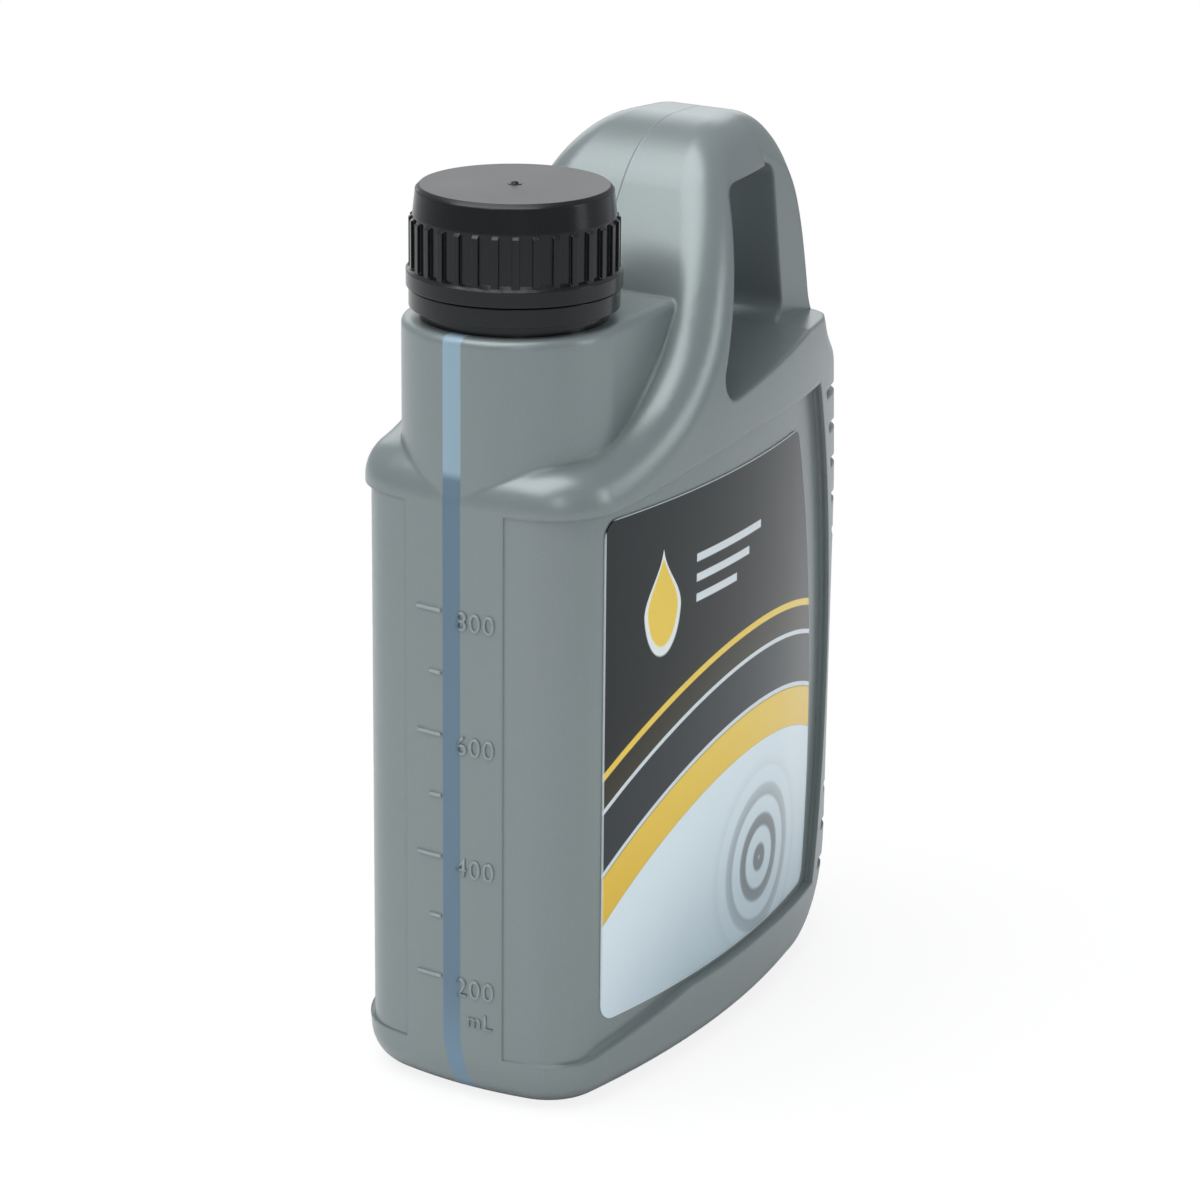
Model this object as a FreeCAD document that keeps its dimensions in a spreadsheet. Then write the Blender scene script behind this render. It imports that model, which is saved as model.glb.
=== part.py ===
import FreeCAD, Part
import math
import os
import Sketcher

# One litre motor oil bottle: blow-moulded body with a hollow handle, screw cap, tamper band,
# liner, front label and the oil inside. Millimetres, +Z up, standing on Z = 0.
# Everything is drawn about the neck's axis; each piece is then placed by the same shift,
# so that the origin is the centre of the bottle's box on the ground.

doc = FreeCAD.newDocument("oil_bottle")
sheet = doc.addObject("Spreadsheet::Sheet", "Sizes")

# Driving dimensions: name, value, what it is
SIZES = [
    ("origin_shift", 44.57, "from the neck's axis to the middle of the bottle's length"),
    ("skin", 0.0, "outer form lies on the drawn size"),
    ("wall", 0.95, "wall of the blown body"),
    # body in plan
    ("front_reach", 24.41, "neck axis to the narrow front face"),
    ("front_radius", 89.14, "plan curve of the front face"),
    ("front_corner", 16.21, "plan corner between the front face and a broad side"),
    ("half_thickness", 33.63, "half the body's greatest thickness"),
    ("thickest_at", 27.15, "greatest thickness, behind the neck's axis"),
    ("side_radius", 246.16, "plan curve of each broad side"),
    # body in the view on the narrow side
    ("taper_start", 147.5, "height where the broad sides start to lean in"),
    ("taper_radius", 120.0, "curve by which the broad sides lean in"),
    ("foot_start", 20.0, "height under which the broad sides lean in to the foot"),
    ("foot_radius", 90.0, "curve by which they lean in there"),
    ("edge_round", 9.0, "rounding round the outline of the broad sides"),
    # outline of the broad side, front to rear, over the top
    ("shoulder_front", 146.28, "shoulder height at the front"),
    ("shoulder_x", 13.07, "where the shoulder and the handle's front lines cross"),
    ("shoulder_rise", 146.28, "height of that crossing"),
    ("sweep_round", 50.65, "sweep from the shoulder up to the handle"),
    ("handle_front_x", 51.26, "where the handle's front and top lines cross"),
    ("handle_front_round", 25.32, "bend at the handle's front top"),
    ("handle_top", 206.85, "height over all"),
    ("handle_rear_x", 89.85, "where the handle's top and rear lines cross"),
    ("handle_rear_round", 19.25, "bend at the handle's rear top"),
    ("grip_foot_x", 98.87, "foot of the grip's rear line"),
    ("grip_foot_round", 12.0, "hollow bend at the grip's foot"),
    ("grip_foot", 157.5, "height of the grip's foot"),
    ("rear_shoulder", 147.5, "height of the rear shoulder"),
    ("rear_shoulder_x", 109.0, "where the rear shoulder and the rear face cross"),
    ("rear_shoulder_round", 10.13, "bend of the rear shoulder"),
    ("rear_reach", 113.86, "neck axis to the rear face where it stands out furthest"),
    ("rear_reach_height", 113.46, "height where the rear face stands out furthest"),
    ("rear_bulge_round", 101.3, "bend of the rear face at that height"),
    ("rear_foot_x", 111.43, "neck axis to the rear face's line at the base"),
    ("base_rear_round", 28.0, "bend between the base and the rear face"),
    # hand hole, through the thickness
    ("hole_top", 195.51, "top of the hand hole"),
    ("hole_top_front_x", 51.66, "front end of the hole's top"),
    ("hole_low_front_x", 29.98, "front end of the hole's floor"),
    ("hole_low_front", 149.92, "floor of the hole at the front"),
    ("hole_low_rear_x", 86.61, "rear end of the hole's floor"),
    ("hole_low_rear", 157.52, "floor of the hole at the rear"),
    ("hole_top_rear_x", 80.53, "rear end of the hole's top"),
    ("hole_corner", 5.06, "roundings of the hole's corners"),
    # grip bar behind the hole, slimmer than the body under it
    ("grip_half", 17.2, "half the grip's thickness"),
    ("grip_start_x", 74.0, "where the grip starts to be slimmer"),
    ("grip_low", 157.0, "height of the body's ledge beside the grip"),
    # recessed panels on the broad sides
    ("panel_depth", 2.23, "depth of the recess for the label"),
    ("panel_front_depth", 0.3, "depth of the recess on the front face"),
    ("panel_start", 12.66, "half the width of the front face between the panels"),
    ("panel_top_front", 136.15, "top edge of the recess at the front"),
    ("panel_top_mid_x", 44.57, "where the top edge levels out"),
    ("panel_top", 142.33, "top edge of the recess"),
    ("panel_low_front", 11.35, "low edge of the recess at the front"),
    ("panel_low_mid_x", 22.29, "where the low edge levels out"),
    ("panel_low", 17.73, "low edge of the recess"),
    ("panel_low_rear", 15.19, "low edge of the recess at the rear"),
    ("panel_rear_radius", 167.14, "curve of the recess's rear edge"),
    ("panel_rear_centre_x", -61.79, "centre of that curve, from the neck's axis"),
    ("panel_rear_centre", 73.95, "height of that curve's centre"),
    # gripping grooves down the rear
    ("groove_count", 14, "gripping grooves"),
    ("groove_pitch", 9.12, "from groove to groove"),
    ("groove_low", 19.25, "height of the lowest groove"),
    ("groove_height", 2.3, "height of a groove"),
    ("groove_depth", 0.9, "depth of a groove"),
    ("groove_start", 4.0, "from the panel's rear edge to where the grooves begin"),
    # column under the neck and its web to the handle
    ("column_radius", 24.31, "column under the neck"),
    ("column_top", 173.73, "top of the column and the web"),
    ("column_low", 126.62, "foot of the column, inside the body"),
    ("column_round", 1.6, "rounding of the column's top edge"),
    ("web_end_x", 42.55, "rear end of the web, inside the handle"),
    ("web_half", 21.27, "half the web's thickness at that end"),
    # graduations on the front face, millilitres from the base
    ("mark_first", 28.36, "height of the 200 mark"),
    ("mark_step", 14.12, "height of each further 100"),
    ("mark_rise", 0.4, "how far a mark stands out"),
    ("mark_height", 0.71, "height of a mark"),
    ("mark_start", 2.63, "where the marks begin beside the view strip"),
    ("mark_long", 9.12, "end of a long mark"),
    ("mark_short", 5.67, "end of a short mark"),
    # neck finish
    ("neck_radius", 17.83, "neck's outer radius under the thread"),
    ("neck_bore", 16.01, "radius of the mouth"),
    ("neck_top", 199.16, "rim of the neck"),
    ("neck_foot", 170.18, "foot of the neck, inside the column"),
    ("bead_radius", 18.94, "bead that holds the tamper band"),
    ("bead_low", 177.48, "underside of the bead"),
    ("bead_high", 179.71, "top of the bead"),
    ("thread_pitch", 4.5, "rise of the thread in one turn"),
    ("thread_low", 184.97, "start of the neck's thread"),
    ("thread_turns", 2.2, "turns of the neck's thread"),
    ("thread_depth", 1.32, "how far the neck's thread stands out"),
    ("thread_width", 1.92, "width of a thread at its foot"),
    ("thread_crest", 0.71, "width of a thread at its crest"),
    # screw cap
    ("cap_low", 180.72, "cap's lower edge"),
    ("cap_top", 202.3, "cap's top"),
    ("cap_flange_radius", 23.3, "flange round the cap's lower edge"),
    ("cap_flange_top", 184.77, "top of the flange"),
    ("cap_radius", 21.88, "cap's wall between the ribs"),
    ("cap_crown_radius", 20.77, "cap's flat top"),
    ("cap_rib_radius", 22.65, "outside of the ribs"),
    ("cap_rib_top", 196.02, "top of the ribs"),
    ("cap_rib_width", 1.52, "width of a rib"),
    ("cap_rib_count", 32, "ribs round the cap"),
    ("cap_bore", 19.85, "radius inside the cap"),
    ("cap_roof", 1.7, "thickness of the cap's top"),
    ("cap_thread_depth", 1.32, "how far the cap's thread stands in"),
    ("cap_thread_turns", 2.0, "turns of the cap's thread"),
    # tamper band left on the neck
    ("band_low", 173.75, "lower edge of the band"),
    ("band_step", 176.26, "height where the band widens"),
    ("band_top", 180.31, "upper edge of the band"),
    ("band_radius", 22.74, "outside of the band's upper part"),
    ("band_low_radius", 20.46, "outside of the band's lower part"),
    ("band_bore", 19.45, "inside of the band's upper part"),
    ("band_lip", 18.23, "inside of the band's lip under the bead"),
    ("band_lip_top", 177.17, "top of that lip"),
    # liner inside the cap
    ("liner_radius", 19.45, "sealing disc"),
    ("liner_thickness", 1.3, "thickness of the disc"),
    # label on the near panel
    ("label_film", 0.3, "thickness of the label"),
    ("label_gap", 0.03, "glue under the label"),
    ("label_left", -8.81, "front edge of the label"),
    ("label_low", 18.94, "lower edge of the label"),
    ("label_top", 134.12, "upper edge of the label"),
    ("label_rear_radius", 207.66, "curve of the label's rear edge"),
    ("label_rear_centre_x", -113.46, "centre of that curve, from the neck's axis"),
    ("label_rear_centre", 56.73, "height of that curve's centre"),
    ("label_corner", 4.05, "roundings of the label's corners"),
    # oil inside
    ("oil_level", 143.44, "surface of the oil"),
    ("oil_gap", 0.1, "oil drawn clear of the wall"),
]
for row, (alias, value, note) in enumerate(SIZES, start=1):
    sheet.set("A%d" % row, alias)
    sheet.set("B%d" % row, str(value))
    sheet.set("C%d" % row, note)
    sheet.setAlias("B%d" % row, alias)
doc.recompute()


def size(alias):
    return float(sheet.get(alias))


def named(text):
    """An expression with each sheet name written in full."""
    out = ""
    word = ""
    for letter in text + " ":
        if letter.isalnum() or letter == "_":
            word += letter
            continue
        if word in NAMES:
            word = "Sizes." + word
        out += word + letter
        word = ""
    return out.strip()


NAMES = set(entry[0] for entry in SIZES)


def bind(thing, prop, text):
    thing.setExpression(prop, named(text))


def cylinder(name, radius, height, x="0", y="0", z="0", axis="Z"):
    """A cylinder about a line parallel to an axis, starting at z (or centred in Y)."""
    c = doc.addObject("Part::Cylinder", name)
    bind(c, "Radius", radius)
    bind(c, "Height", height)
    if axis == "Y":
        c.Placement.Rotation = FreeCAD.Rotation(FreeCAD.Vector(1, 0, 0), 90)
    bind(c, "Placement.Base.x", x)
    bind(c, "Placement.Base.y", y)
    bind(c, "Placement.Base.z", z)
    return c


def common(name, things):
    """What all of some things share, two at a time."""
    last = things[0]
    for thing in things[1:]:
        c = doc.addObject("Part::Common", name)
        c.Base = last
        c.Tool = thing
        last = c
    return last


def fuse(name, things):
    c = doc.addObject("Part::MultiFuse", name)
    c.Shapes = things
    return c


def cut(name, base, tool):
    c = doc.addObject("Part::Cut", name)
    c.Base = base
    c.Tool = tool
    return c


def plane(body, role):
    for feature in body.Origin.OriginFeatures:
        if feature.Role == role:
            return feature
    raise RuntimeError(role)


def worth(text):
    """The present value of a sum of products of sheet names and numbers."""
    total = 0.0
    sign = 1.0
    for token in text.replace("-", " - ").replace("+", " + ").split():
        if token == "+":
            sign = 1.0
        elif token == "-":
            sign = -1.0
        else:
            product = sign
            for factor in token.split("*"):
                product *= size(factor) if factor in NAMES else float(factor)
            total += product
            sign = 1.0
    return total


def moved_in(points, inset):
    """Corner points moved in by a distance, as (x, z, x value, z value)."""
    values = [(worth(x), worth(z)) for x, z in points]
    count = len(points)
    area = 0.0
    for i in range(count):
        area += values[i - 1][0] * values[i][1] - values[i][0] * values[i - 1][1]
    turn = 1.0 if area > 0 else -1.0
    moved = []
    for i in range(count):
        before, here, after = points[i - 1], points[i], points[(i + 1) % count]
        a, b, c = values[i - 1], values[i], values[(i + 1) % count]
        d1 = math.hypot(b[0] - a[0], b[1] - a[1])
        d2 = math.hypot(c[0] - b[0], c[1] - b[1])
        n1 = (-turn * (b[1] - a[1]) / d1, turn * (b[0] - a[0]) / d1)
        n2 = (-turn * (c[1] - b[1]) / d2, turn * (c[0] - b[0]) / d2)
        share = worth(inset) / (1 + n1[0] * n2[0] + n1[1] * n2[1])
        dx1, dz1 = "((%s)-(%s))" % (here[0], before[0]), "((%s)-(%s))" % (here[1], before[1])
        dx2, dz2 = "((%s)-(%s))" % (after[0], here[0]), "((%s)-(%s))" % (after[1], here[1])
        e1, e2 = "hypot(%s;%s)" % (dx1, dz1), "hypot(%s;%s)" % (dx2, dz2)
        bottom = "(1+(%s*%s+%s*%s)/(%s*%s))" % (dx1, dx2, dz1, dz2, e1, e2)
        x = "%s-%d*(%s)*(%s/%s+%s/%s)/%s" % (here[0], turn, inset, dz1, e1, dz2, e2, bottom)
        z = "%s+%d*(%s)*(%s/%s+%s/%s)/%s" % (here[1], turn, inset, dx1, e1, dx2, e2, bottom)
        moved.append((x, z, b[0] + share * (n1[0] + n2[0]), b[1] + share * (n1[1] + n2[1])))
    return moved


def outline_body(name, points, role):
    """A body with one closed sketch through points (x, z, x value, z value)."""
    body = doc.addObject("PartDesign::Body", name)
    sketch = body.newObject("Sketcher::SketchObject", name + "_outline")
    sketch.AttachmentSupport = [(plane(body, role), "")]
    sketch.MapMode = "FlatFace"
    count = len(points)
    for i in range(count):
        a = FreeCAD.Vector(points[i][2], points[i][3], 0)
        b = FreeCAD.Vector(points[(i + 1) % count][2], points[(i + 1) % count][3], 0)
        sketch.addGeometry(Part.LineSegment(a, b), False)
    for i in range(count):
        sketch.addConstraint(Sketcher.Constraint("Coincident", i, 2, (i + 1) % count, 1))
    for i in range(count):
        for kind, text, value in (("DistanceX", points[i][0], points[i][2]),
                                  ("DistanceY", points[i][1], points[i][3])):
            k = sketch.addConstraint(Sketcher.Constraint(kind, -1, 1, i, 1, value))
            sketch.setExpression("Constraints[%d]" % k, named(text))
    return body, sketch


def prism(name, points, depth, inset="0", role="XZ_Plane"):
    """Points in a plane, moved in by a distance and extruded to both sides of it."""
    body, sketch = outline_body(name, moved_in(points, inset), role)
    pad = body.newObject("PartDesign::Pad", name + "_pad")
    pad.Profile = sketch
    pad.Midplane = True
    bind(pad, "Length", depth)
    body.Tip = pad
    doc.recompute()
    return body


def turned(name, points):
    """Points (radius, height) turned round the neck's axis."""
    body, sketch = outline_body(name, moved_in(points, "0"), "XZ_Plane")
    turn = body.newObject("PartDesign::Revolution", name + "_turn")
    turn.Profile = sketch
    turn.ReferenceAxis = (sketch, ["V_Axis"])
    turn.Angle = 360
    body.Tip = turn
    doc.recompute()
    return body


def round_edges(body, edges, radius):
    """Rounds some edges of the body's last shape."""
    base = body.Tip
    fillet = body.newObject("PartDesign::Fillet", body.Name + "_round")
    fillet.Base = (base, ["Edge%d" % i for i in edges])
    bind(fillet, "Radius", radius)
    body.Tip = fillet
    doc.recompute()
    return body


def upright(shape, x, z):
    """Edges along Y through the point (x, z)."""
    hits = []
    for i, edge in enumerate(shape.Edges, start=1):
        if len(edge.Vertexes) != 2:
            continue
        a, b = edge.Vertexes[0].Point, edge.Vertexes[1].Point
        if math.hypot(a.x - x, a.z - z) < 0.05 and math.hypot(b.x - x, b.z - z) < 0.05:
            hits.append(i)
    return hits


def sharp(shape, least=10.0):
    """Edges at which the two faces meet at an angle, with their middle points."""
    hits = []
    for i, edge in enumerate(shape.Edges, start=1):
        if edge.Degenerated:
            continue
        faces = shape.ancestorsOfType(edge, Part.Face)
        if len(faces) != 2:
            continue
        middle = edge.valueAt((edge.FirstParameter + edge.LastParameter) / 2)
        normals = []
        for face in faces:
            u, v = face.Surface.parameter(middle)
            normals.append(face.normalAt(u, v))
        if math.degrees(normals[0].getAngle(normals[1])) > least:
            hits.append((i, middle, edge))
    return hits


def on_top_of(name, thing):
    """A body that goes on from a finished shape."""
    body = doc.addObject("PartDesign::Body", name)
    body.BaseFeature = thing
    doc.recompute()
    body.Tip = body.Group[0]
    return body


# Broad sides: a lens of two large turned forms
def broad_side(name, inset, side):
    body = doc.addObject("PartDesign::Body", name)
    sketch = body.newObject("Sketcher::SketchObject", name + "_outline")
    sketch.AttachmentSupport = [(plane(body, "XZ_Plane"), "")]
    sketch.MapMode = "FlatFace"
    reach = worth("side_radius") - worth(inset)
    bend = worth("taper_radius") - worth(inset)
    start = worth("taper_start")
    centre = worth("side_radius") - worth("taper_radius")
    end = 225.0
    angle = math.asin((end - start) / bend)
    far = centre + bend * math.cos(angle)
    v = FreeCAD.Vector
    low = worth("foot_start")
    hollow = worth("foot_radius") - worth(inset)
    low_centre = worth("side_radius") - worth("foot_radius")
    lean = math.asin(low / hollow)
    circle = Part.Circle(v(centre, start, 0), v(0, 0, 1), bend)
    low_circle = Part.Circle(v(low_centre, low, 0), v(0, 0, 1), hollow)
    foot = low_centre + hollow * math.cos(lean)
    sketch.addGeometry(Part.LineSegment(v(0, 0, 0), v(foot, 0, 0)), False)
    sketch.addGeometry(Part.ArcOfCircle(low_circle, -lean, 0), False)
    sketch.addGeometry(Part.LineSegment(v(reach, low, 0), v(reach, start, 0)), False)
    sketch.addGeometry(Part.ArcOfCircle(circle, 0, angle), False)
    sketch.addGeometry(Part.LineSegment(v(far, end, 0), v(0, end, 0)), False)
    sketch.addGeometry(Part.LineSegment(v(0, end, 0), v(0, 0, 0)), False)
    for one, one_end, two, two_end in ((0, 2, 1, 1), (1, 2, 2, 1), (2, 2, 3, 1), (3, 2, 4, 1),
                                       (4, 2, 5, 1), (5, 2, 0, 1), (0, 1, -1, 1)):
        sketch.addConstraint(Sketcher.Constraint("Coincident", one, one_end, two, two_end))
    sketch.addConstraint(Sketcher.Constraint("Horizontal", 0))
    sketch.addConstraint(Sketcher.Constraint("Horizontal", 4))
    sketch.addConstraint(Sketcher.Constraint("Vertical", 5))
    for kind, geo, point, text, value in (
            ("DistanceX", 1, 3, "side_radius-foot_radius", low_centre),
            ("DistanceY", 1, 3, "foot_start", low),
            ("DistanceY", 1, 2, "foot_start", low),
            ("DistanceX", 3, 3, "side_radius-taper_radius", centre),
            ("DistanceY", 3, 3, "taper_start", start),
            ("DistanceY", 3, 1, "taper_start", start),
            ("DistanceY", 3, 2, "225", end)):
        k = sketch.addConstraint(Sketcher.Constraint(kind, -1, 1, geo, point, value))
        sketch.setExpression("Constraints[%d]" % k, named(text))
    for geo, text, value in ((1, "foot_radius-(%s)" % inset, hollow), (3, "taper_radius-(%s)" % inset, bend)):
        k = sketch.addConstraint(Sketcher.Constraint("Radius", geo, value))
        sketch.setExpression("Constraints[%d]" % k, named(text))
    turn = body.newObject("PartDesign::Revolution", name + "_turn")
    turn.Profile = sketch
    turn.ReferenceAxis = (sketch, ["V_Axis"])
    turn.Angle = 360
    body.Tip = turn
    bind(body, "Placement.Base.x", "thickest_at")
    bind(body, "Placement.Base.y", "%d*(half_thickness-side_radius)" % side)
    doc.recompute()
    return body


SIDE = [
    ("0-80", "0"),
    ("0-80", "shoulder_front"),
    ("shoulder_x", "shoulder_rise"),
    ("handle_front_x", "handle_top"),
    ("handle_rear_x", "handle_top"),
    ("grip_foot_x", "grip_foot"),
    ("rear_shoulder_x", "rear_shoulder"),
    ("rear_reach", "rear_reach_height"),
    ("rear_foot_x", "0"),
]
SIDE_ROUNDS = [
    (2, "sweep_round", 1),
    (3, "handle_front_round", -1),
    (4, "handle_rear_round", -1),
    (5, "grip_foot_round", 1),
    (6, "rear_shoulder_round", -1),
    (7, "rear_bulge_round", -1),
    (8, "base_rear_round", -1),
]
HOLE = [
    ("hole_top_front_x", "hole_top"),
    ("hole_low_front_x", "hole_low_front"),
    ("hole_low_rear_x", "hole_low_rear"),
    ("hole_top_rear_x", "hole_top"),
]
WINDOW = [
    ("0-60", "panel_top_front"),
    ("0-8", "panel_top_front"),
    ("panel_low_mid_x", "panel_top_front+4"),
    ("panel_top_mid_x", "panel_top"),
    ("140", "panel_top"),
    ("140", "panel_low_rear"),
    ("60", "panel_low"),
    ("panel_low_mid_x", "panel_low"),
    ("0-15", "panel_low_front"),
    ("0-60", "panel_low_front"),
]


def prism_rounded(name, points, depth, inset, rounds):
    """A prism whose corners are rounded: (corner number, radius, +1 hollow or -1 full)."""
    body = prism(name, points, depth, inset)
    moved = moved_in(points, inset)
    for corner, radius, way in rounds:
        x, z = moved[corner][2], moved[corner][3]
        edges = upright(body.Tip.Shape, x, z)
        text = "%s+(%s)" % (radius, inset) if way > 0 else "%s-(%s)" % (radius, inset)
        round_edges(body, edges, text)
    return body


def core_form(name, inset):
    """The blown body with rounded edges, moved in by a distance."""
    near = broad_side(name + "_near", inset, -1)
    far = broad_side(name + "_far", inset, 1)
    front = cylinder(name + "_front", "front_radius-(%s)" % inset, "225", "front_radius-front_reach")
    side = prism_rounded(name + "_side", SIDE, "200", inset, SIDE_ROUNDS)
    block = common(name + "_block", [near, far, front, side])
    doc.recompute()
    form = on_top_of(name + "_form", block)
    corners = []
    for i, middle, edge in sharp(form.Tip.Shape):
        a, b = edge.Vertexes[0].Point, edge.Vertexes[-1].Point
        if middle.x < 0 and abs(middle.y) > 15 and abs(a.z - b.z) > 0.7 * edge.Length:
            corners.append(i)
    round_edges(form, corners, "front_corner-(%s)" % inset)
    round_edges(form, [i for i, middle, edge in sharp(form.Tip.Shape)], "edge_round-(%s)" % inset)
    return form


def block_of(name, x, y, z, length, width, height):
    """A box by its lowest corner and its sizes, all as expressions."""
    box = doc.addObject("Part::Box", name)
    for prop, text in (("Placement.Base.x", x), ("Placement.Base.y", y), ("Placement.Base.z", z),
                       ("Length", length), ("Width", width), ("Height", height)):
        bind(box, prop, text)
    return box


def body_form(name, inset):
    """The blown body with its grip, panels and grooves, moved in by a distance."""
    form = core_form(name, inset)
    beside = []
    for side, y in (("near", "(%s)-grip_half-50" % inset), ("far", "grip_half-(%s)" % inset)):
        beside.append(block_of(name + "_beside_grip_" + side, "grip_start_x", y, "grip_low-(%s)" % inset,
                               "100", "50", "100"))
    form = cut(name + "_gripped", form, fuse(name + "_beside_grip", beside))
    form = cut(name + "_panelled", form, panel_cutter(name, inset))
    slabs = []
    for k in range(int(size("groove_count"))):
        z = "groove_low+%d*groove_pitch-0.5*groove_height-(%s)" % (k, inset)
        slabs.append(block_of("%s_slab_%d" % (name, k), "60", "0-50", z, "100", "100",
                              "groove_height+2*(%s)" % inset))
    limit = cylinder(name + "_groove_limit", "panel_rear_radius+groove_start-(%s)" % inset, "200",
                     "panel_rear_centre_x", "100", "panel_rear_centre", "Y")
    floor = core_form(name + "_groove_floor", inset + "+groove_depth")
    grooves = cut(name + "_grooves", fuse(name + "_slabs", slabs), fuse(name + "_kept", [floor, limit]))
    return cut(name + "_grooved", form, grooves)


def panel_cutter(name, inset):
    """What the two panels take away: their windows, less the form at the panels' level."""
    window = prism(name + "_window", WINDOW, "200", "0-" + inset.replace("+", "-"))
    arc = cylinder(name + "_window_arc", "panel_rear_radius+(%s)" % inset, "200",
                   "panel_rear_centre_x", "100", "panel_rear_centre", "Y")
    middle = doc.addObject("Part::Box", name + "_front_strip")
    bind(middle, "Length", "100")
    bind(middle, "Width", "2*(panel_start-(%s))" % inset)
    bind(middle, "Height", "225")
    bind(middle, "Placement.Base.x", "0-front_reach-50")
    bind(middle, "Placement.Base.y", "(%s)-panel_start" % inset)
    cut_window = cut(name + "_windows", common(name + "_window_shape", [window, arc]), middle)
    deep = "side_radius-panel_depth-(%s)" % inset
    near = cylinder(name + "_panel_near", deep, "225", "thickest_at", "side_radius-half_thickness", "0-1")
    far = cylinder(name + "_panel_far", deep, "225", "thickest_at", "half_thickness-side_radius", "0-1")
    front = cylinder(name + "_panel_front", "front_radius-panel_front_depth-(%s)" % inset, "225",
                     "front_radius-front_reach", "0", "0-1")
    level = common(name + "_panel_block", [near, far, front])
    doc.recompute()
    level_body = on_top_of(name + "_panel_level", level)
    corners = []
    for i, middle_point, edge in sharp(level_body.Tip.Shape):
        a, b = edge.Vertexes[0].Point, edge.Vertexes[-1].Point
        if middle_point.x < 0 and abs(a.z - b.z) > 100:
            corners.append(i)
    round_edges(level_body, corners, "front_corner-panel_depth-(%s)" % inset)
    return cut(name + "_panel_cutter", cut_window, level_body)


def hole_cutter(name, inset):
    """The hand hole's prism, made larger by a distance."""
    grown = "0-" + inset.replace("+", "-")
    rounds = [(corner, "hole_corner+(%s)" % inset, -1) for corner in range(4)]
    body = prism(name, HOLE, "200", grown)
    moved = moved_in(HOLE, grown)
    for corner, radius, way in rounds:
        round_edges(body, upright(body.Tip.Shape, moved[corner][2], moved[corner][3]), radius)
    return body


def column_form(name, inset):
    """The round column under the neck and the web that ties it to the handle."""
    column = cylinder(name + "_column", "column_radius-(%s)" % inset, "column_top-column_low-(%s)" % inset,
                      "0", "0", "column_low")
    web = prism(name + "_web", [
        ("0", "0-column_radius"),
        ("web_end_x", "0-web_half"),
        ("web_end_x", "web_half"),
        ("0", "column_radius"),
    ], "2*(column_top-column_low-(%s))" % inset, "0", "XY_Plane")
    bind(web, "Placement.Base.z", "column_low")
    lower = doc.addObject("Part::Box", name + "_under_web")
    bind(lower, "Length", "200")
    bind(lower, "Width", "200")
    bind(lower, "Height", "200")
    bind(lower, "Placement.Base.x", "0-100")
    bind(lower, "Placement.Base.y", "0-100")
    bind(lower, "Placement.Base.z", "column_low-200")
    plan = "0" if inset == "skin" else inset
    shape = cut(name + "_column_web", fuse(name + "_column_block", [column, slim(name, web, plan)]), lower)
    doc.recompute()
    body = on_top_of(name + "_column_form", shape)
    top = worth("column_top") - worth(inset)
    edges = []
    for i, middle, edge in sharp(body.Tip.Shape):
        points = [vertex.Point.z for vertex in edge.Vertexes] + [middle.z]
        if max(abs(z - top) for z in points) < 0.01 and middle.x < worth("web_end_x") - 1:
            edges.append(i)
    round_edges(body, edges, "column_round")
    return body


def slim(name, web, inset):
    """The web less the wall on each broad side."""
    if inset == "0":
        return web
    box = doc.addObject("Part::Box", name + "_web_limit")
    bind(box, "Length", "200")
    bind(box, "Width", "2*(web_half-(%s))" % inset)
    bind(box, "Height", "300")
    bind(box, "Placement.Base.x", "0-100")
    bind(box, "Placement.Base.y", "(%s)-web_half" % inset)
    return common(name + "_web_slim", [web, box])


def thread(name, radius, low, turns, depth, way):
    """A helical ridge: it stands out of the radius (way 1) or in from it (way -1)."""
    helix = doc.addObject("Part::Helix", name + "_path")
    bind(helix, "Pitch", "thread_pitch")
    bind(helix, "Height", "thread_pitch*(%s)" % turns)
    bind(helix, "Radius", radius)
    bind(helix, "Placement.Base.z", low)
    foot = "%s-%d*0.25" % (radius, way)
    crest = "%s+%d*%s" % (radius, way, depth)
    body, sketch = outline_body(name + "_section", moved_in([
        (foot, low + "-0.5*thread_width"),
        (crest, low + "-0.5*thread_crest"),
        (crest, low + "+0.5*thread_crest"),
        (foot, low + "+0.5*thread_width"),
    ], "0"), "XZ_Plane")
    doc.recompute()
    sweep = doc.addObject("Part::Sweep", name)
    sweep.Sections = [sketch]
    sweep.Spine = (helix, ["Edge%d" % (i + 1) for i in range(len(helix.Shape.Edges))])
    sweep.Solid = True
    sweep.Frenet = True
    return sweep


PIECES = []


def piece(name, thing):
    """A finished piece, with its name and its place about the bottle's own origin."""
    thing.Label = name
    bind(thing, "Placement.Base.x", "0-origin_shift")
    PIECES.append(thing)


outer_form = body_form("outer", "skin")
inner_form = body_form("inner", "wall")

# Outside of the bottle
outer_solid = fuse("outer_solid", [
    cut("outer_held", fuse("outer_columned", [outer_form, column_form("outer", "skin")]),
        hole_cutter("hand_hole", "skin")),
    cylinder("neck", "neck_radius", "neck_top-neck_foot", "0", "0", "neck_foot"),
    cylinder("neck_bead", "bead_radius", "bead_high-bead_low", "0", "0", "bead_low"),
])

# Inside of the bottle
inner_solid = fuse("inner_solid", [
    cut("inner_held", fuse("inner_columned", [inner_form, column_form("inner", "wall")]),
        hole_cutter("hand_hole_wall", "wall")),
    cylinder("mouth", "neck_bore", "neck_top-neck_foot+5", "0", "0", "neck_foot"),
])
neck_thread = thread("neck_thread", "neck_radius", "thread_low", "thread_turns", "thread_depth", 1)

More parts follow.
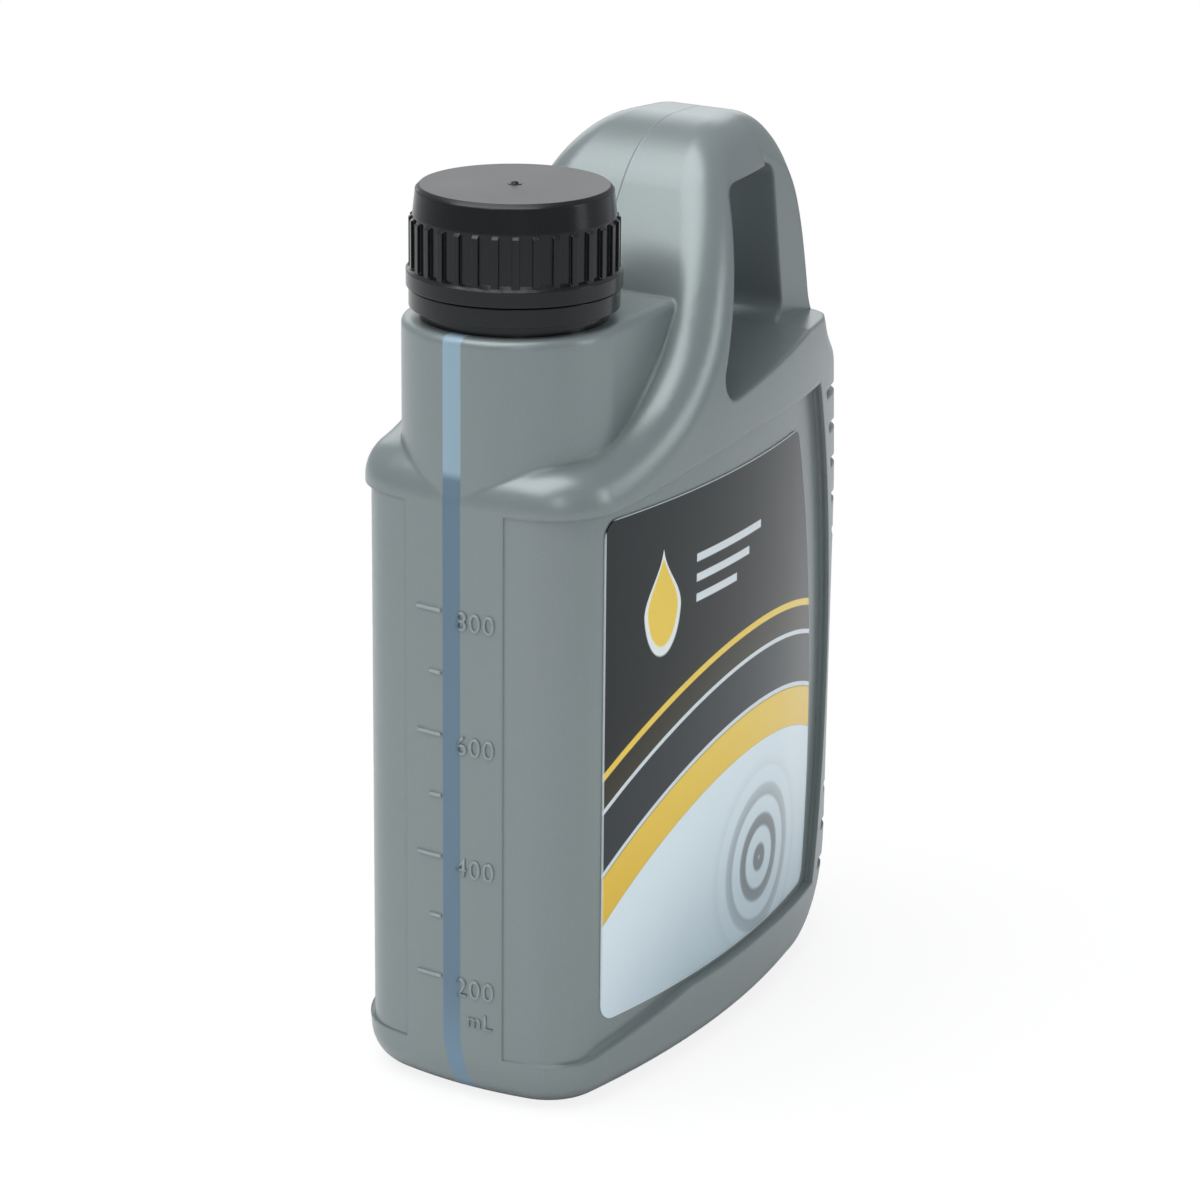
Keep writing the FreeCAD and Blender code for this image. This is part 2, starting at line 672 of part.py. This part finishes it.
# Raised graduations beside the view strip
marks = []
for k in range(7):
    end = "mark_long" if k % 2 == 0 else "mark_short"
    mark = doc.addObject("Part::Box", "mark_%d" % (200 + 100 * k))
    bind(mark, "Length", "6")
    bind(mark, "Width", "%s-mark_start" % end)
    bind(mark, "Height", "mark_height")
    bind(mark, "Placement.Base.x", "0-front_reach-mark_rise-1")
    bind(mark, "Placement.Base.y", "mark_start")
    bind(mark, "Placement.Base.z", "mark_first+%d*mark_step-0.5*mark_height" % k)
    marks.append(mark)
mark_limit = cylinder("mark_limit", "front_radius+mark_rise", "200", "front_radius-front_reach")
mark_set = common("marks", [fuse("mark_bars", marks), mark_limit])
piece("bottle", cut("bottle", fuse("bottle_outside", [outer_solid, neck_thread, mark_set]), inner_solid))

# Screw cap: turned shell, ribs round it and a thread inside
cap_body = turned("cap_shell", [
    ("cap_bore", "cap_low"),
    ("cap_flange_radius", "cap_low"),
    ("cap_flange_radius", "cap_flange_top-0.7"),
    ("cap_radius", "cap_flange_top+0.3"),
    ("cap_radius", "cap_rib_top"),
    ("cap_crown_radius+0.5", "cap_top-0.9"),
    ("cap_crown_radius-0.4", "cap_top"),
    ("0", "cap_top"),
    ("0", "cap_top-cap_roof"),
    ("cap_bore", "cap_top-cap_roof"),
])
rib_sketch = cap_body.newObject("Sketcher::SketchObject", "cap_rib_outline")
rib_sketch.AttachmentSupport = [(plane(cap_body, "XZ_Plane"), "")]
rib_sketch.MapMode = "FlatFace"
rib_points = [
    ("cap_radius-0.4", "cap_flange_top-0.4"),
    ("cap_rib_radius", "cap_flange_top-0.4"),
    ("cap_rib_radius", "cap_rib_top-0.9"),
    ("cap_radius-0.4", "cap_rib_top-0.1"),
]
for i in range(4):
    a, b = rib_points[i], rib_points[(i + 1) % 4]
    start = FreeCAD.Vector(worth(a[0]), worth(a[1]), 0)
    end = FreeCAD.Vector(worth(b[0]), worth(b[1]), 0)
    rib_sketch.addGeometry(Part.LineSegment(start, end), False)
for i in range(4):
    rib_sketch.addConstraint(Sketcher.Constraint("Coincident", i, 2, (i + 1) % 4, 1))
for i in range(4):
    for kind, text in (("DistanceX", rib_points[i][0]), ("DistanceY", rib_points[i][1])):
        k = rib_sketch.addConstraint(Sketcher.Constraint(kind, -1, 1, i, 1, worth(text)))
        rib_sketch.setExpression("Constraints[%d]" % k, named(text))
rib = cap_body.newObject("PartDesign::Pad", "cap_rib")
rib.Profile = rib_sketch
rib.Midplane = True
bind(rib, "Length", "cap_rib_width")
cap_body.Tip = rib
doc.recompute()
ribs = cap_body.newObject("PartDesign::PolarPattern", "cap_ribs")
ribs.Originals = [rib]
ribs.Axis = (rib_sketch, ["V_Axis"])
ribs.Angle = 360
bind(ribs, "Occurrences", "cap_rib_count")
cap_body.Tip = ribs
doc.recompute()
cap_thread = thread("cap_thread", "cap_bore", "thread_low+0.5*thread_pitch", "cap_thread_turns",
                    "cap_thread_depth", -1)
piece("screw_cap", fuse("screw_cap", [cap_body, cap_thread]))

# Tamper band, which lies on the column and is held by the neck's bead
piece("tamper_band", turned("tamper_band", [
    ("band_lip", "band_low"),
    ("band_low_radius", "band_low"),
    ("band_low_radius", "band_step"),
    ("band_radius", "band_step"),
    ("band_radius", "band_top"),
    ("band_bore", "band_top"),
    ("band_bore", "band_lip_top"),
    ("band_lip", "band_lip_top"),
]))

# Liner between the cap's roof and the neck's rim
piece("cap_liner", cylinder("cap_liner", "liner_radius", "liner_thickness", "0", "0", "neck_top+0.02"))

# Label film on the near panel
label_window = prism("label_window", [
    ("label_left", "label_low"),
    ("100", "label_low"),
    ("100", "label_top"),
    ("label_left", "label_top"),
], "200")
label_arc = cylinder("label_arc", "label_rear_radius", "200", "label_rear_centre_x", "100",
                     "label_rear_centre", "Y")
label_near = doc.addObject("Part::Box", "label_near")
bind(label_near, "Length", "300")
bind(label_near, "Width", "100")
bind(label_near, "Height", "225")
bind(label_near, "Placement.Base.x", "0-100")
bind(label_near, "Placement.Base.y", "0-100")
under = cylinder("label_under", "side_radius-panel_depth+label_gap", "225", "thickest_at",
                 "side_radius-half_thickness", "0-1")
over = cylinder("label_over", "side_radius-panel_depth+label_gap+label_film", "225", "thickest_at",
                "side_radius-half_thickness", "0-1")
window = common("label_window_shape", [label_window, label_arc])
doc.recompute()
label_outline = on_top_of("label_outline", window)
corners = []
for i, middle, edge in sharp(label_outline.Tip.Shape):
    a, b = edge.Vertexes[0].Point, edge.Vertexes[-1].Point
    if abs(a.y - b.y) > 150:
        corners.append(i)
round_edges(label_outline, corners, "label_corner")
piece("front_label", cut("front_label", common("label_over_shape", [over, label_outline, label_near]), under))

# Oil, drawn a little clear of the wall
oil_form = body_form("oil", "wall+oil_gap")
oil_box = doc.addObject("Part::Box", "oil_box")
bind(oil_box, "Length", "300")
bind(oil_box, "Width", "200")
bind(oil_box, "Height", "oil_level")
bind(oil_box, "Placement.Base.x", "0-100")
bind(oil_box, "Placement.Base.y", "0-100")
piece("oil_fill", common("oil_fill", [oil_form, oil_box]))

# Every object is sound, and each piece goes to its own file
doc.recompute()
for thing in doc.Objects:
    if "Invalid" in thing.State or "Error" in thing.State:
        raise RuntimeError("%s is in state %s" % (thing.Name, thing.State))
    if thing.TypeId == "PartDesign::Body" and thing.Tip is None:
        continue
    if hasattr(thing, "Shape") and (thing.Shape.isNull() or not thing.Shape.isValid()):
        raise RuntimeError("%s has no valid shape" % thing.Name)
os.makedirs("parts", exist_ok=True)
for thing in PIECES:
    thing.Shape.exportStep("parts/%s.step" % thing.Label)
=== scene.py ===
import math
import bpy
from mathutils import Matrix, Vector


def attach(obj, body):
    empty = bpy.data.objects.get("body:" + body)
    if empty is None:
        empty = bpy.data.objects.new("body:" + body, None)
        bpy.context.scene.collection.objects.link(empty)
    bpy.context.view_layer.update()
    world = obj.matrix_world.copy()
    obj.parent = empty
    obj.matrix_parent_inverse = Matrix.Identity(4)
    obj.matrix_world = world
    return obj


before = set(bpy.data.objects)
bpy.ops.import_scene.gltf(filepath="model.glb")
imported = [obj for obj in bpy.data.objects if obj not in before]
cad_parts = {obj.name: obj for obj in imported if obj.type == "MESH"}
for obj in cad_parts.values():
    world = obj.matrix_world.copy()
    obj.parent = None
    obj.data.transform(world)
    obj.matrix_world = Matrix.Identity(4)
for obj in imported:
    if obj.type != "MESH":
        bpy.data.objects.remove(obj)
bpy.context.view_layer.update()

# Places on the bottle, in metres
NECK_X = -0.04457
FRONT_X = -0.06898
FRONT_RADIUS = 0.08914
OIL_LEVEL = 0.1434
CAP_TOP = 0.2023

# Clear strip in the wall, which bends aside over the foot
STRIP_HALF = 0.00227
STRIP_EDGE = 0.00025
STRIP_CLEAR_OF_AXIS = 0.004
STRIP_BEND = 0.0022
STRIP_BEND_HEIGHTS = (0.001, 0.016)
LEVEL_SOFT = 0.0012

# Graduation: a mark for each 100 mL, and a figure beside every other one
MARK_FIRST = 0.02836
MARK_STEP = 0.01412
FIRST_FIGURE = 200
FIGURE_STEP = 100
FIGURE_MARKS = (0, 2, 4, 6)
FIGURE_HEIGHT = 0.0044
FIGURE_RISE = 0.00034
FIGURE_SINK = 0.0004
FIGURE_START_Y = -0.0011
FIGURE_BELOW_MARK = 0.0036
UNIT_HEIGHT = FIGURE_HEIGHT * 0.8
UNIT_START_Y = -0.0040
UNIT_BELOW_MARK = 0.0105
CAPITAL_SHARE = 0.72
LETTER_GAP = 1.1
LETTER_DEPTH = 0.0006

# Gate mark in the middle of the cap's top: the radius and the rise of each ring
GATE_RINGS = (
    (0.0016, -0.0002),
    (0.0015, 0.00012),
    (0.0009, 0.00006),
    (0.0006, 0.0005),
    (0.0003, 0.0006),
)
GATE_SIDES = 20

# Label: its low front corner and its size, across and up
LABEL_LOW = (-0.0534, 0.01894)
LABEL_SIZE = (0.1029, 0.1152)

# Radius within which a hard edge catches the light as a round one
BOTTLE_EDGE = 0.0014
CAP_EDGE = 0.0004

WHITE = (1.0, 1.0, 1.0, 1.0)


def shade(red, green, blue):
    """A colour as a screen shows it (0 to 255), in linear light."""
    out = []
    for part in (red, green, blue):
        c = part / 255.0
        out.append(c / 12.92 if c <= 0.04045 else ((c + 0.055) / 1.055) ** 2.4)
    return (out[0], out[1], out[2], 1.0)


def placed(name, data):
    """An object that holds the data, in the scene."""
    thing = bpy.data.objects.new(name, data)
    bpy.context.scene.collection.objects.link(thing)
    return thing


class Graph:
    """A material's nodes, written as sums and mixes."""

    def __init__(self, name):
        self.material = bpy.data.materials.new(name)
        self.material.use_nodes = True
        self.tree = self.material.node_tree
        self.tree.nodes.clear()
        self.output = self.tree.nodes.new("ShaderNodeOutputMaterial")
        self.shader = self.tree.nodes.new("ShaderNodeBsdfPrincipled")
        self.tree.links.new(self.shader.outputs[0], self.output.inputs["Surface"])
        place = self.tree.nodes.new("ShaderNodeTexCoord")
        self.place = place.outputs["Object"]
        split = self.tree.nodes.new("ShaderNodeSeparateXYZ")
        self.tree.links.new(self.place, split.inputs[0])
        self.x, self.y, self.z = split.outputs

    def put(self, value, socket):
        if isinstance(value, bpy.types.NodeSocket):
            self.tree.links.new(value, socket)
        else:
            socket.default_value = value

    def math(self, operation, a, b=0.0):
        node = self.tree.nodes.new("ShaderNodeMath")
        node.operation = operation
        for value, socket in zip((a, b), node.inputs):
            self.put(value, socket)
        return node.outputs[0]

    def add(self, a, b):
        return self.math("ADD", a, b)

    def sub(self, a, b):
        return self.math("SUBTRACT", a, b)

    def mul(self, a, b):
        return self.math("MULTIPLY", a, b)

    def length(self, a, b):
        """How long the line is that runs a one way and b across it."""
        return self.math("SQRT", self.add(self.mul(a, a), self.mul(b, b)))

    def step(self, value, low, high):
        """0 below low, 1 above high and smooth between."""
        node = self.tree.nodes.new("ShaderNodeMapRange")
        node.interpolation_type = "SMOOTHSTEP"
        self.put(value, node.inputs["Value"])
        self.put(low, node.inputs["From Min"])
        self.put(high, node.inputs["From Max"])
        return node.outputs[0]

    def fall(self, value, low, high):
        """1 below low, 0 above high and smooth between."""
        return self.sub(1.0, self.step(value, low, high))

    def within(self, value, half, soft):
        """1 where a value lies within half of nought."""
        return self.fall(self.math("ABSOLUTE", value), half - soft, half + soft)

    def mix(self, share, a, b):
        node = self.tree.nodes.new("ShaderNodeMix")
        node.data_type = "RGBA"
        self.put(share, node.inputs[0])
        self.put(a, node.inputs[6])
        self.put(b, node.inputs[7])
        return node.outputs[2]

    def noise(self, scale, detail=2.0, rough=0.5, tall=1.0):
        """Cloudy noise. Where tall is below 1 it is drawn out upright, as flow marks are."""
        mapping = self.tree.nodes.new("ShaderNodeMapping")
        mapping.inputs["Scale"].default_value = (1.0, 1.0, tall)
        self.tree.links.new(self.place, mapping.inputs[0])
        node = self.tree.nodes.new("ShaderNodeTexNoise")
        node.inputs["Scale"].default_value = scale
        node.inputs["Detail"].default_value = detail
        node.inputs["Roughness"].default_value = rough
        self.tree.links.new(mapping.outputs[0], node.inputs["Vector"])
        return node.outputs[0]

    def bump(self, height, distance, strength, edge=0.0):
        """A height as relief, over edges that catch the light as if rounded by a radius."""
        node = self.tree.nodes.new("ShaderNodeBump")
        if edge:
            soft = self.tree.nodes.new("ShaderNodeBevel")
            soft.samples = 4
            soft.inputs["Radius"].default_value = edge
            self.tree.links.new(soft.outputs[0], node.inputs["Normal"])
        node.inputs["Strength"].default_value = strength
        node.inputs["Distance"].default_value = distance
        self.put(height, node.inputs["Height"])
        self.tree.links.new(node.outputs[0], self.shader.inputs["Normal"])

    def set(self, **values):
        for name, value in values.items():
            self.put(value, self.shader.inputs[name.replace("_", " ")])


# Blown polyethylene: grey with a faint pearl, and the clear strip down the front
def bottle_material():
    g = Graph("bottle grey")
    cloud = g.noise(22.0, detail=3.0, tall=0.35)
    grain = g.noise(2600.0, rough=0.6)
    flow = g.noise(60.0, tall=0.05)
    grey = g.mix(cloud, shade(109, 118, 118), shade(118, 128, 128))
    grey = g.mix(g.mul(g.step(flow, 0.45, 0.75), 0.35), grey, shade(118, 121, 125))
    grey = g.mix(g.mul(grain, 0.30), grey, shade(140, 151, 152))

    # the strip, darker below the oil's level and paler again at the foot
    front = g.math("LESS_THAN", g.x, NECK_X - STRIP_CLEAR_OF_AXIS)
    aside = g.mul(g.fall(g.z, *STRIP_BEND_HEIGHTS), STRIP_BEND)
    strip = g.mul(g.within(g.add(g.y, aside), STRIP_HALF, STRIP_EDGE), front)
    grey_share = g.sub(1.0, strip)
    full = g.fall(g.z, OIL_LEVEL - LEVEL_SOFT, OIL_LEVEL + LEVEL_SOFT)
    low = g.fall(g.z, 0.004, 0.030)
    streak = g.noise(90.0, tall=0.06)
    clear = g.mix(full, shade(130, 156, 172), shade(72, 99, 118))
    clear = g.mix(g.mul(low, 0.6), clear, shade(104, 136, 158))
    clear = g.mix(g.mul(streak, 0.30), clear, shade(112, 135, 148))
    colour = g.mix(strip, grey, clear)

    # the mould's parting line over the rear, and a painted highlight that makes the faces of the
    # raised marks paler
    parting = g.mul(g.within(g.y, 0.00016, 0.00012), g.sub(1.0, front))
    colour = g.mix(g.mul(parting, 0.45), colour, shade(92, 97, 98))
    across = g.math("MINIMUM", g.mul(g.y, g.y), 0.0005)
    bow = g.sub(FRONT_RADIUS, g.math("SQRT", g.sub(FRONT_RADIUS ** 2, across)))
    above = g.sub(g.add(FRONT_X, bow), g.x)
    # painted highlight: faces that stand proud of the front are painted paler, as if lit along
    # their edges
    marks_painted_highlight = g.mul(g.step(above, 0.00010, 0.00022), grey_share)
    colour = g.mix(g.mul(marks_painted_highlight, 0.55), colour, shade(158, 168, 169))

    g.set(Base_Color=colour, Metallic=g.mul(grey_share, 0.30),
          Roughness=g.add(0.26, g.mul(cloud, 0.10)), Specular_IOR_Level=0.6)
    height = g.add(g.add(g.mul(cloud, 0.5), g.mul(grain, 0.02)), g.mul(parting, 0.5))
    g.bump(height, 0.0006, 0.35, BOTTLE_EDGE)
    return g.material


# Black cap plastic, duller on the top, with a dark point at the gate
def cap_material():
    g = Graph("cap black")
    cloud = g.noise(60.0)
    grain = g.noise(3000.0, rough=0.6)
    top = g.step(g.z, CAP_TOP - 0.0008, CAP_TOP - 0.0003)
    far = g.length(g.sub(g.x, NECK_X), g.y)
    gate = g.mul(g.fall(far, 0.0006, 0.0012), top)
    black = g.mix(cloud, shade(8, 10, 11), shade(15, 17, 18))
    rough = g.add(g.add(0.17, g.mul(top, 0.18)), g.mul(cloud, 0.06))
    g.set(Base_Color=g.mix(gate, black, shade(6, 6, 7)), Roughness=rough, Specular_IOR_Level=0.35)
    g.bump(grain, 0.00006, 0.25, CAP_EDGE)
    return g.material


def liner_material():
    g = Graph("liner foam")
    cells = g.noise(2500.0, detail=3.0, rough=0.6)
    g.set(Base_Color=g.mix(cells, shade(222, 222, 214), shade(238, 238, 232)), Roughness=0.75)
    g.bump(cells, 0.0001, 0.6)
    return g.material


def oil_material():
    g = Graph("oil amber")
    cloud = g.noise(30.0)
    g.set(Base_Color=g.mix(cloud, shade(176, 116, 30), shade(190, 132, 44)), Roughness=0.06,
          Transmission_Weight=0.35, IOR=1.47)
    return g.material


# Printed label: a plain design of wide arcs, ripples and a drop, with no words.
# Its places and widths are shares of the label's width and height.
def label_material():
    g = Graph("label print")
    u = g.math("DIVIDE", g.sub(g.x, LABEL_LOW[0]), LABEL_SIZE[0])
    v = g.math("DIVIDE", g.sub(g.z, LABEL_LOW[1]), LABEL_SIZE[1])
    cloud = g.noise(40.0, detail=4.0, rough=0.6)
    slate = shade(34, 42, 46)
    line = shade(204, 213, 217)
    gold = g.mix(g.step(v, 0.0, 0.6), shade(208, 168, 44), shade(228, 196, 78))

    def distance(centre_u, centre_v, tall=1.0):
        return g.length(g.sub(u, centre_u), g.mul(g.sub(v, centre_v), tall))

    # dark field with a dim golden glow along the arcs
    arc = g.sub(distance(0.62, -0.64), 0.44)
    dark = g.mix(g.step(v, 0.45, 1.0), shade(8, 14, 16), shade(18, 27, 29))
    dark = g.mix(g.mul(cloud, 0.25), dark, shade(26, 35, 38))
    colour = g.mix(g.mul(g.fall(arc, 0.70, 0.92), 0.45), dark, shade(92, 82, 42))

    # pale dome along the foot, with ripples that fade toward its rim
    pale = g.mix(g.step(arc, 0.20, 0.60), shade(160, 178, 187), shade(212, 225, 231))
    pale = g.mix(g.mul(cloud, 0.35), pale, shade(186, 202, 210))
    source = distance(0.66, 0.15, 1.15)
    ripple = g.step(g.math("SINE", g.mul(source, 88.0)), -0.3, 0.7)
    fade = g.fall(source, 0.06, 0.26)
    pale = g.mix(g.mul(g.mul(ripple, fade), 0.85), pale, shade(70, 80, 84))
    colour = g.mix(g.fall(arc, 0.598, 0.602), colour, pale)

    # arcs over the dome: gold, slate between two thin lines, and a fine gold one
    for middle, half, soft, ink in (
            (0.640, 0.040, 0.002, gold),
            (0.740, 0.050, 0.002, slate),
            (0.686, 0.0045, 0.0012, line),
            (0.794, 0.0045, 0.0012, line),
            (0.855, 0.007, 0.0015, gold)):
        colour = g.mix(g.within(g.sub(arc, middle), half, soft), colour, ink)

    # a drop, high at the front, that narrows to its tip
    drop_x = g.sub(u, 0.20)
    drop_z = g.sub(v, 0.80)
    narrow = g.sub(1.0, g.mul(g.step(drop_z, -0.02, 0.12), 0.96))
    wide = g.math("POWER", g.math("DIVIDE", drop_x, narrow), 2.0)
    drop = g.math("SQRT", g.add(wide, g.mul(g.mul(drop_z, drop_z), 0.42)))
    colour = g.mix(g.fall(drop, 0.066, 0.070), colour, shade(222, 227, 226))
    colour = g.mix(g.fall(drop, 0.054, 0.058), colour, gold)

    # three short bars beside it, each with its height and its length
    for height, reach in ((0.860, 0.30), (0.820, 0.24), (0.780, 0.18)):
        bar = g.mul(g.within(g.sub(v, height), 0.008, 0.0015),
                    g.within(g.sub(u, 0.33 + reach / 2), reach / 2, 0.002))
        colour = g.mix(bar, colour, shade(206, 214, 217))

    # pale cut edge of the film
    ends = g.step(g.math("ABSOLUTE", g.sub(v, 0.5)), 0.497, 0.499)
    edge = g.math("MAXIMUM", ends, g.fall(u, 0.002, 0.005))
    colour = g.mix(g.mul(edge, 0.8), colour, shade(196, 206, 210))
    g.set(Base_Color=colour, Roughness=g.add(0.20, g.mul(cloud, 0.08)), Specular_IOR_Level=0.28)
    g.bump(cloud, 0.0002, 0.12)
    return g.material


materials = {
    "bottle_plastic": bottle_material(),
    "cap_plastic": cap_material(),
    "liner_foam": liner_material(),
    "oil": oil_material(),
    "label_film": label_material(),
}
slots = {"bottle": "bottle_plastic", "screw_cap": "cap_plastic", "tamper_band": "cap_plastic",
         "cap_liner": "liner_foam", "front_label": "label_film", "oil_fill": "oil"}
for node, slot in slots.items():
    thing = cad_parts[node]
    thing.data.materials.clear()
    thing.data.materials.append(materials[slot])


def moulded(text, height, low, start_y):
    """Raised writing on the round front, which runs away from the strip and stands at low."""
    curve = bpy.data.curves.new("number " + text, "FONT")
    curve.body = text
    curve.size = height / CAPITAL_SHARE
    curve.space_character = LETTER_GAP
    curve.extrude = LETTER_DEPTH
    maker = placed("number maker", curve)
    bpy.context.view_layer.update()
    flat = maker.evaluated_get(bpy.context.evaluated_depsgraph_get())
    mesh = bpy.data.meshes.new_from_object(flat)
    bpy.data.objects.remove(maker)
    for vertex in mesh.vertices:
        across, up, out = vertex.co
        y = start_y - across
        bow = FRONT_RADIUS - math.sqrt(FRONT_RADIUS ** 2 - y ** 2)
        x = FRONT_X + bow + (-FIGURE_RISE if out > 0 else FIGURE_SINK)
        vertex.co = (x, y, low + up)
    obj = placed("number_" + text, mesh)
    mesh.materials.append(materials["bottle_plastic"])
    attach(obj, "body")


# Moulded figures beside the strip, and the unit below them
for k in FIGURE_MARKS:
    moulded(str(FIRST_FIGURE + FIGURE_STEP * k), FIGURE_HEIGHT,
            MARK_FIRST + k * MARK_STEP - FIGURE_BELOW_MARK, FIGURE_START_Y)
moulded("mL", UNIT_HEIGHT, MARK_FIRST - UNIT_BELOW_MARK, UNIT_START_Y)

# Gate mark: rings of points from its sunk foot up to its tip, with both ends closed
gate_points = []
for radius, rise in GATE_RINGS:
    for k in range(GATE_SIDES):
        angle = math.tau * k / GATE_SIDES
        gate_points.append((NECK_X + radius * math.cos(angle), radius * math.sin(angle),
                            CAP_TOP + rise))
gate_faces = []
for ring in range(len(GATE_RINGS) - 1):
    here = ring * GATE_SIDES
    above = here + GATE_SIDES
    for k in range(GATE_SIDES):
        after = (k + 1) % GATE_SIDES
        gate_faces.append((here + k, here + after, above + after, above + k))
last = (len(GATE_RINGS) - 1) * GATE_SIDES
gate_faces.append(tuple(range(last, last + GATE_SIDES)))
gate_faces.append(tuple(reversed(range(GATE_SIDES))))
gate_mesh = bpy.data.meshes.new("gate_mark")
gate_mesh.from_pydata(gate_points, [], gate_faces)
gate_mark = placed("gate_mark", gate_mesh)
gate_mesh.materials.append(materials["cap_plastic"])
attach(gate_mark, "cap")


# Floor: white paper that runs out into white light away from the bottle
def stage_material():
    g = Graph("studio white")
    cloud = g.noise(3.0)
    g.set(Base_Color=g.mix(cloud, (0.86, 0.86, 0.86, 1.0), (0.88, 0.88, 0.88, 1.0)), Roughness=0.9)
    glow = g.tree.nodes.new("ShaderNodeEmission")
    glow.inputs["Color"].default_value = WHITE
    rays = g.tree.nodes.new("ShaderNodeLightPath")
    blend = g.tree.nodes.new("ShaderNodeMixShader")
    away = g.length(g.x, g.y)
    share = g.add(0.84, g.mul(g.step(away, 0.05, 0.32), 0.16))
    g.tree.links.new(g.mul(rays.outputs["Is Camera Ray"], share), blend.inputs[0])
    g.tree.links.new(g.shader.outputs[0], blend.inputs[1])
    g.tree.links.new(glow.outputs[0], blend.inputs[2])
    g.tree.links.new(blend.outputs[0], g.output.inputs["Surface"])
    return g.material


FLOOR_HALF = 6
floor_mesh = bpy.data.meshes.new("floor")
floor_corners = [(-FLOOR_HALF, -FLOOR_HALF, 0), (FLOOR_HALF, -FLOOR_HALF, 0),
                 (FLOOR_HALF, FLOOR_HALF, 0), (-FLOOR_HALF, FLOOR_HALF, 0)]
floor_mesh.from_pydata(floor_corners, [], [(0, 1, 2, 3)])
floor = placed("floor", floor_mesh)
floor_mesh.materials.append(stage_material())

# Surroundings: a soft grey light, and white where the camera looks past the floor
world = bpy.data.worlds.new("studio")
bpy.context.scene.world = world
world.use_nodes = True
world_tree = world.node_tree
sky = world_tree.nodes["Background"]
rays = world_tree.nodes.new("ShaderNodeLightPath")
pick = world_tree.nodes.new("ShaderNodeMix")
pick.data_type = "RGBA"
pick.inputs[6].default_value = (0.45, 0.47, 0.49, 1.0)
pick.inputs[7].default_value = WHITE
world_tree.links.new(rays.outputs["Is Camera Ray"], pick.inputs[0])
world_tree.links.new(pick.outputs[2], sky.inputs["Color"])
sky.inputs["Strength"].default_value = 1.0

LIGHTS_AIM = Vector((0.0, 0.0, 0.1))


def panel_light(name, place, size, power):
    """A panel of light that faces the bottle."""
    data = bpy.data.lights.new(name, "AREA")
    data.shape = "RECTANGLE"
    data.size, data.size_y = size
    data.energy = power
    light = placed(name, data)
    light.location = place
    toward = LIGHTS_AIM - Vector(place)
    light.rotation_euler = toward.to_track_quat("-Z", "Y").to_euler()


panel_light("over", (-0.35, 0.15, 1.1), (1.1, 1.1), 14.0)
panel_light("behind", (0.95, 0.75, 0.62), (1.0, 0.7), 2.6)
panel_light("window by the camera", (-0.9, -0.68, 0.62), (0.22, 0.5), 1.0)
panel_light("window on the label side", (0.45, -1.1, 0.45), (0.3, 0.6), 1.9)

# The photo's camera, found from the bottle's own edges
PHOTO_PIXELS = 1200.0
PHOTO_FOCAL_PIXELS = 4257.0
SENSOR_WIDTH = 36.0
CAMERA_PLACE = (-0.78831, -0.48562, 0.39518)
CAMERA_TURN = math.radians(31.92)
CAMERA_TILT = math.radians(17.83)
CAMERA_ROLL = math.radians(0.56)

lens_data = bpy.data.cameras.new("photo")
lens_data.sensor_width = SENSOR_WIDTH
lens_data.lens = SENSOR_WIDTH * PHOTO_FOCAL_PIXELS / PHOTO_PIXELS
camera = placed("photo", lens_data)
look = Vector((math.cos(CAMERA_TURN) * math.cos(CAMERA_TILT),
               math.sin(CAMERA_TURN) * math.cos(CAMERA_TILT), -math.sin(CAMERA_TILT)))
level = Vector((math.sin(CAMERA_TURN), -math.cos(CAMERA_TURN), 0.0))
upright = level.cross(look)
right = math.cos(CAMERA_ROLL) * level + math.sin(CAMERA_ROLL) * upright
up = math.cos(CAMERA_ROLL) * upright - math.sin(CAMERA_ROLL) * level
camera.matrix_world = Matrix((
    (right.x, up.x, -look.x, CAMERA_PLACE[0]),
    (right.y, up.y, -look.y, CAMERA_PLACE[1]),
    (right.z, up.z, -look.z, CAMERA_PLACE[2]),
    (0.0, 0.0, 0.0, 1.0)))
bpy.context.scene.camera = camera
bpy.context.scene.view_settings.view_transform = "Standard"
